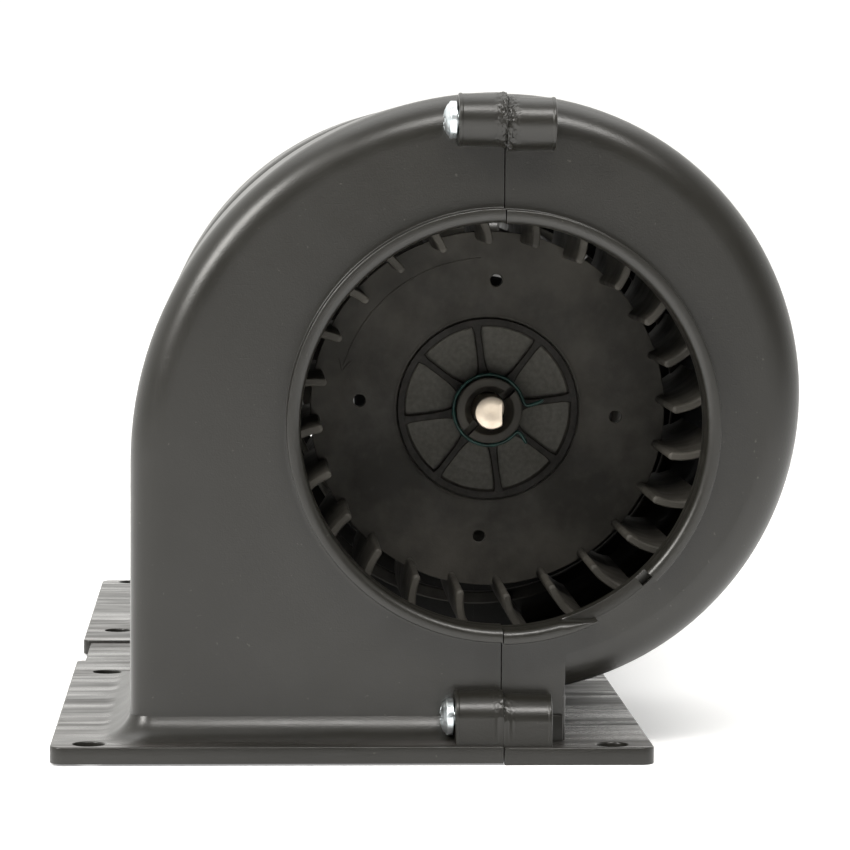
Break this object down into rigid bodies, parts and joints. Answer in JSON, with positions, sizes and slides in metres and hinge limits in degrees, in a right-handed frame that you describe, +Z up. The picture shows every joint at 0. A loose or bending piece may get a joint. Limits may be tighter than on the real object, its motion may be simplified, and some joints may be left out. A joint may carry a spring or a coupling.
{
  "type": "twin centrifugal blower",
  "caption": "Twin-scroll centrifugal blower: two double-inlet wheels on one double-ended motor, in a split plastic casing on a flat outlet flange.",
  "frame": {"origin": "centre of the footprint on the underside of the mounting flange", "axes": "+Y along the shaft from the pictured end to the far end, +Z up from the flange, +X towards the tongue side"},
  "size_m": [0.1696, 0.323, 0.1505],
  "materials": {
    "casing_plastic": "black glass-filled moulded plastic, satin with a fine grain",
    "wheel_plastic": "black moulded plastic, dull, lightly dusted",
    "screw_zinc": "bright zinc plated steel",
    "clip_green": "dark green coated spring wire",
    "shaft_steel": "turned bright steel, slightly warm",
    "motor_steel": "plated deep-drawn steel",
    "lamination": "stacked electrical steel",
    "copper": "enamelled copper",
    "ferrite": "sintered ferrite",
    "bronze": "oil-filled sintered bronze",
    "carbon": "pressed carbon graphite",
    "card_board": "brown phenolic laminate",
    "rubber": "black soft rubber"
  },
  "bodies": {
    "casing": {"casing_left": "casing_plastic", "casing_right": "casing_plastic", "casing_screw_front_top": "screw_zinc", "casing_screw_front_bottom": "screw_zinc", "casing_screw_rear_top": "screw_zinc", "casing_screw_rear_bottom": "screw_zinc", "cradle_screw_top": "screw_zinc", "cradle_screw_bottom": "screw_zinc", "mount_ring_front": "rubber", "mount_ring_rear": "rubber", "motor_can": "motor_steel", "motor_end_cap_front": "motor_steel", "motor_end_cap_rear": "motor_steel", "magnet_left": "ferrite", "magnet_right": "ferrite", "bearing_front": "bronze", "bearing_rear": "bronze", "bearing_retainer_front": "screw_zinc", "bearing_retainer_rear": "screw_zinc", "brush_card": "card_board", "tie_bolt_upper": "screw_zinc", "tie_bolt_lower": "screw_zinc", "lead_grommet": "rubber", "brush_spring_upper": "screw_zinc", "brush_spring_lower": "screw_zinc"},
    "rotor": {"motor_shaft": "shaft_steel", "armature_core": "lamination", "armature_windings": "copper", "commutator": "copper", "thrust_washer_front": "card_board", "thrust_washer_rear": "card_board", "wheel_front": "wheel_plastic", "wheel_rear": "wheel_plastic", "hub_clip_front": "clip_green", "hub_clip_rear": "clip_green"},
    "brush_upper": {"brush_upper": "carbon"},
    "brush_lower": {"brush_lower": "carbon"}
  },
  "joints": [
    {"name": "rotor_spin", "type": "hinge", "parent": "casing", "child": "rotor", "pos_m": [0.01665, 0, 0.0757], "axis": [0, -1, 0], "continuous": true},
    {"name": "brush_upper_slide", "type": "slide", "parent": "casing", "child": "brush_upper", "axis": [0, 0, 1], "range_m": [0, 0.003], "stiffness_N_per_m": 40, "springref_m": -0.02, "deforming": ["brush_spring_upper"]},
    {"name": "brush_lower_slide", "type": "slide", "parent": "casing", "child": "brush_lower", "axis": [0, 0, -1], "range_m": [0, 0.003], "stiffness_N_per_m": 40, "springref_m": -0.02, "deforming": ["brush_spring_lower"]}
  ]
}
